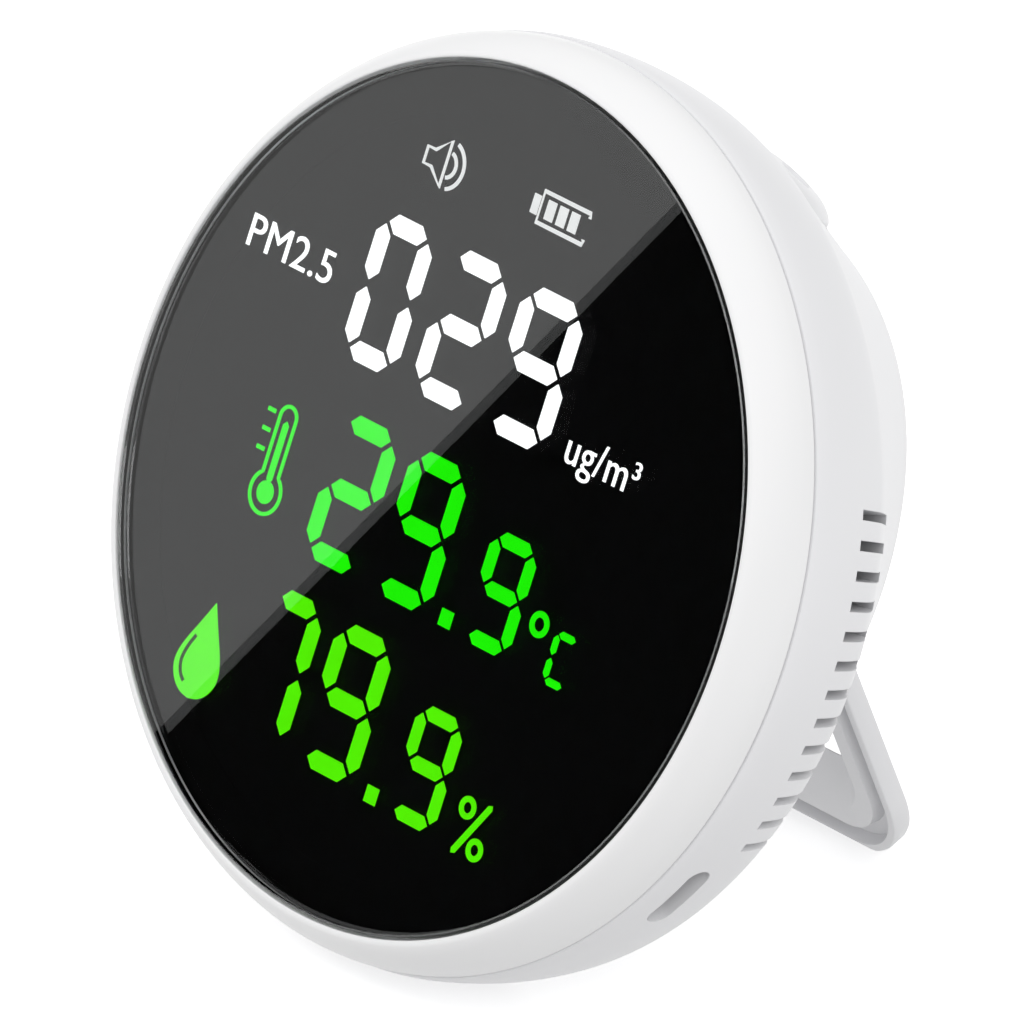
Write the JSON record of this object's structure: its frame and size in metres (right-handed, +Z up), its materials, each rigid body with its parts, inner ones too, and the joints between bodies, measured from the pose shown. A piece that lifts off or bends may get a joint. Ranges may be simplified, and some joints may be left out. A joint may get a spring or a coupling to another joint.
{
  "type": "air quality monitor",
  "caption": "Round desk air quality monitor with a lit glass face, air slots, charging slot, push button and fold-out stand; it leans back.",
  "frame": {"origin": "on the table plane, under the middle of the object's box", "axes": "+X to the display's right, -Y the way the face looks, +Z up"},
  "size_m": [0.0974, 0.0675, 0.0926],
  "materials": {
    "shell_white": "satin moulded ABS",
    "bezel_white": "smooth moulded ABS",
    "stand_white": "satin moulded ABS",
    "button_white": "satin moulded ABS",
    "cover_glass": "polished tinted glass",
    "display_mask": "black printed film",
    "black_plastic": "moulded",
    "foam_tape": "closed-cell foam",
    "circuit_board": "solder mask on glass laminate",
    "plated_steel": "plated",
    "battery_foil": "laminated foil pouch",
    "lead_sleeve": "wire sleeve",
    "socket_white": "moulded"
  },
  "bodies": {
    "housing": {"rear_shell": "shell_white", "front_bezel": "bezel_white", "glass_lens": "cover_glass", "lens_adhesive": "foam_tape", "display_mask": "display_mask", "display_housing": "black_plastic", "led_board": "circuit_board", "inner_frame": "black_plastic", "main_pcb": "circuit_board", "board_connector": "black_plastic", "microcontroller": "black_plastic", "buzzer": "black_plastic", "temp_humidity_sensor": "plated_steel", "battery": "battery_foil", "battery_lead": "lead_sleeve", "battery_socket": "socket_white", "pm_sensor_case": "plated_steel", "pm_sensor_cover": "plated_steel", "laser_module": "black_plastic", "usb_board": "circuit_board", "usb_receptacle": "plated_steel", "usb_tongue": "black_plastic", "switch_body": "black_plastic", "button_board": "circuit_board", "hinge_pin_left": "plated_steel", "hinge_pin_right": "plated_steel", "case_screw_1": "plated_steel", "case_screw_2": "plated_steel", "case_screw_3": "plated_steel", "case_screw_4": "plated_steel", "frame_screw_1": "plated_steel", "frame_screw_2": "plated_steel", "frame_screw_3": "plated_steel", "frame_screw_4": "plated_steel", "board_screw_1": "plated_steel", "board_screw_2": "plated_steel", "board_screw_3": "plated_steel"},
    "stand": {"stand_frame": "stand_white"},
    "button": {"button_cap": "button_white"},
    "plunger": {"switch_plunger": "black_plastic"},
    "fan": {"fan_rotor": "black_plastic"}
  },
  "joints": [
    {"name": "stand_hinge", "type": "hinge", "parent": "housing", "child": "stand", "pos_m": [0, 0.01288, 0.04529], "axis": [1, 0, 0], "range_deg": [-59, 0]},
    {"name": "button_press", "type": "slide", "parent": "housing", "child": "button", "axis": [-0.2804, -0.6563, -0.7005], "range_m": [0, 0.0004], "stiffness_N_per_m": 500, "springref_m": -0.0004},
    {"name": "plunger_press", "type": "slide", "parent": "housing", "child": "plunger", "axis": [-0.2804, -0.6563, -0.7005], "range_m": [0, 0.0004]},
    {"name": "fan_spin", "type": "hinge", "parent": "housing", "child": "fan", "pos_m": [0.003, 0.00587, 0.05565], "axis": [0, 0.9205, -0.3907], "continuous": true}
  ],
  "couplings": [
    {"joint": "plunger_press", "follows": "button_press", "ratio": 1}
  ]
}
